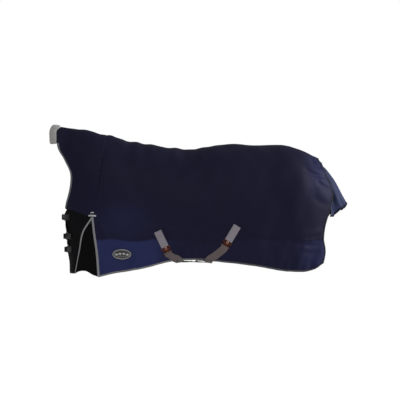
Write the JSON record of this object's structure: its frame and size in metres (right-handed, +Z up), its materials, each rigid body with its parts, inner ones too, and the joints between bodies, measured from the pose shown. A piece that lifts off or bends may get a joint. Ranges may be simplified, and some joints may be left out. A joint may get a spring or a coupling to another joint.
{
  "type": "turnout rug",
  "caption": "Horse turnout rug with a full neck, quilted body, shoulder gussets, buckled chest straps, crossed belly surcingles and a tail flap.",
  "frame": {"origin": "on the centre plane at the rug's topline over the horse's withers", "axes": "+X towards the tail, +Y towards the horse's far (right) side, +Z up"},
  "size_m": [1.9654, 0.6189, 0.9952],
  "materials": {
    "navy_shell": "matte, coated ripstop weave",
    "chest_cloth": "matte, smooth weave",
    "hem_binding": "matte tape",
    "neck_binding": "matte tape",
    "crest_band": "matte fleece",
    "gusset_piping": "matte tape",
    "gusset_tab": "reflective tape",
    "lining": "satin, smooth",
    "wadding": "soft fibre fill",
    "webbing": "matte ribbed webbing",
    "surcingle_fitting": "glossy copper-brown plating",
    "buckle_steel": "dark satin",
    "badge": "satin black with a silver rim"
  },
  "bodies": {
    "rug": {"badge": "badge", "body_lining": "lining", "body_outer_far": "navy_shell", "body_outer_near": "navy_shell", "body_wadding": "wadding", "chest_binding_far": "chest_cloth", "chest_binding_near": "chest_cloth", "chest_buckle_bottom": "buckle_steel", "chest_buckle_middle": "buckle_steel", "chest_buckle_top": "buckle_steel", "chest_chape_bottom": "webbing", "chest_chape_middle": "webbing", "chest_chape_top": "webbing", "chest_lining_far": "lining", "chest_lining_near": "lining", "chest_outer_far": "chest_cloth", "chest_outer_near": "chest_cloth", "chest_strap_bottom": "webbing", "chest_strap_middle": "webbing", "chest_strap_top": "webbing", "crest_band": "crest_band", "front_anchor_far": "webbing", "front_anchor_near": "webbing", "gusset_far": "chest_cloth", "gusset_front_piping_far": "gusset_piping", "gusset_front_piping_near": "gusset_piping", "gusset_near": "chest_cloth", "gusset_rear_piping_far": "gusset_piping", "gusset_rear_piping_near": "gusset_piping", "gusset_tab_far": "gusset_tab", "gusset_tab_near": "gusset_tab", "hem_binding_far": "hem_binding", "hem_binding_near": "hem_binding", "neck_binding_far": "neck_binding", "neck_binding_near": "neck_binding", "neck_lining": "lining", "neck_outer_far": "navy_shell", "neck_outer_near": "navy_shell", "neck_wadding": "wadding", "rear_anchor_far": "webbing", "rear_anchor_near": "webbing"},
    "tail_flap": {"tail_flap": "navy_shell", "tail_flap_binding": "hem_binding", "tail_flap_lining": "lining"},
    "front_short_strap": {"front_short_strap": "webbing"},
    "front_slot_plate": {"front_slot_plate": "surcingle_fitting"},
    "front_belly_strap": {"front_belly_strap": "webbing", "front_hook": "surcingle_fitting"},
    "front_adjuster": {"front_adjuster": "surcingle_fitting"},
    "rear_short_strap": {"rear_short_strap": "webbing"},
    "rear_slot_plate": {"rear_slot_plate": "surcingle_fitting"},
    "rear_belly_strap": {"rear_belly_strap": "webbing", "rear_hook": "surcingle_fitting"},
    "rear_adjuster": {"rear_adjuster": "surcingle_fitting"},
    "chest_tongue_top": {"chest_tongue_top": "buckle_steel"},
    "chest_tongue_middle": {"chest_tongue_middle": "buckle_steel"},
    "chest_tongue_bottom": {"chest_tongue_bottom": "buckle_steel"},
    "chest_strap_tail_top": {"chest_strap_tail_top": "webbing"},
    "chest_strap_tail_middle": {"chest_strap_tail_middle": "webbing"}
  },
  "joints": [
    {"name": "tail_flap_lift", "type": "hinge", "parent": "rug", "child": "tail_flap", "pos_m": [1.10567, 0, -0.09042], "axis": [0, -1, 0], "range_deg": [0, 50]},
    {"name": "front_short_strap_swing", "type": "hinge", "parent": "rug", "child": "front_short_strap", "pos_m": [0.08616, -0.29055, -0.63477], "axis": [-0.9009, 0.0719, -0.428], "range_deg": [0, 110]},
    {"name": "front_slot_plate_tip", "type": "hinge", "parent": "front_short_strap", "child": "front_slot_plate", "pos_m": [0.10127, -0.29011, -0.66655], "axis": [-0.9012, 0.0735, -0.4271], "range_deg": [0, 50]},
    {"name": "front_belly_strap_drop", "type": "hinge", "parent": "rug", "child": "front_belly_strap", "pos_m": [0.38599, 0.29091, -0.75385], "axis": [1, 0, 0], "range_deg": [0, 80]},
    {"name": "front_adjuster_slide", "type": "slide", "parent": "front_belly_strap", "child": "front_adjuster", "axis": [0.3224, 0.9466, 0], "range_m": [-0.03, 0.03]},
    {"name": "rear_short_strap_swing", "type": "hinge", "parent": "rug", "child": "rear_short_strap", "pos_m": [0.52913, -0.30474, -0.59675], "axis": [-0.8583, -0.0154, 0.513], "range_deg": [0, 110]},
    {"name": "rear_slot_plate_tip", "type": "hinge", "parent": "rear_short_strap", "child": "rear_slot_plate", "pos_m": [0.51105, -0.30296, -0.62696], "axis": [-0.8585, -0.0185, 0.5125], "range_deg": [0, 50]},
    {"name": "rear_belly_strap_drop", "type": "hinge", "parent": "rug", "child": "rear_belly_strap", "pos_m": [0.18783, 0.28903, -0.75321], "axis": [1, 0, 0], "range_deg": [0, 80]},
    {"name": "rear_adjuster_slide", "type": "slide", "parent": "rear_belly_strap", "child": "rear_adjuster", "axis": [-0.3216, 0.9469, 0], "range_m": [-0.03, 0.03]},
    {"name": "chest_tongue_top_open", "type": "hinge", "parent": "rug", "child": "chest_tongue_top", "pos_m": [-0.56897, -0.03112, -0.47418], "axis": [-0.2178, -0.028, 0.9756], "range_deg": [0, 100]},
    {"name": "chest_tongue_middle_open", "type": "hinge", "parent": "rug", "child": "chest_tongue_middle", "pos_m": [-0.55121, -0.03097, -0.59888], "axis": [-0.0854, -0.0088, 0.9963], "range_deg": [0, 100]},
    {"name": "chest_tongue_bottom_open", "type": "hinge", "parent": "rug", "child": "chest_tongue_bottom", "pos_m": [-0.5433, -0.03078, -0.68521], "axis": [-0.0794, -0.0076, 0.9968], "range_deg": [0, 100]},
    {"name": "chest_strap_tail_top_swing", "type": "hinge", "parent": "rug", "child": "chest_strap_tail_top", "pos_m": [-0.55854, -0.02056, -0.49873], "axis": [-0.164, 0.9861, -0.0253], "range_deg": [0, 75]},
    {"name": "chest_strap_tail_middle_swing", "type": "hinge", "parent": "rug", "child": "chest_strap_tail_middle", "pos_m": [-0.54313, -0.02043, -0.62439], "axis": [-0.1277, 0.9918, -0.0085], "range_deg": [0, 75]}
  ],
  "couplings": [
    {"joint": "rear_belly_strap_drop", "follows": "front_belly_strap_drop", "ratio": 1}
  ]
}
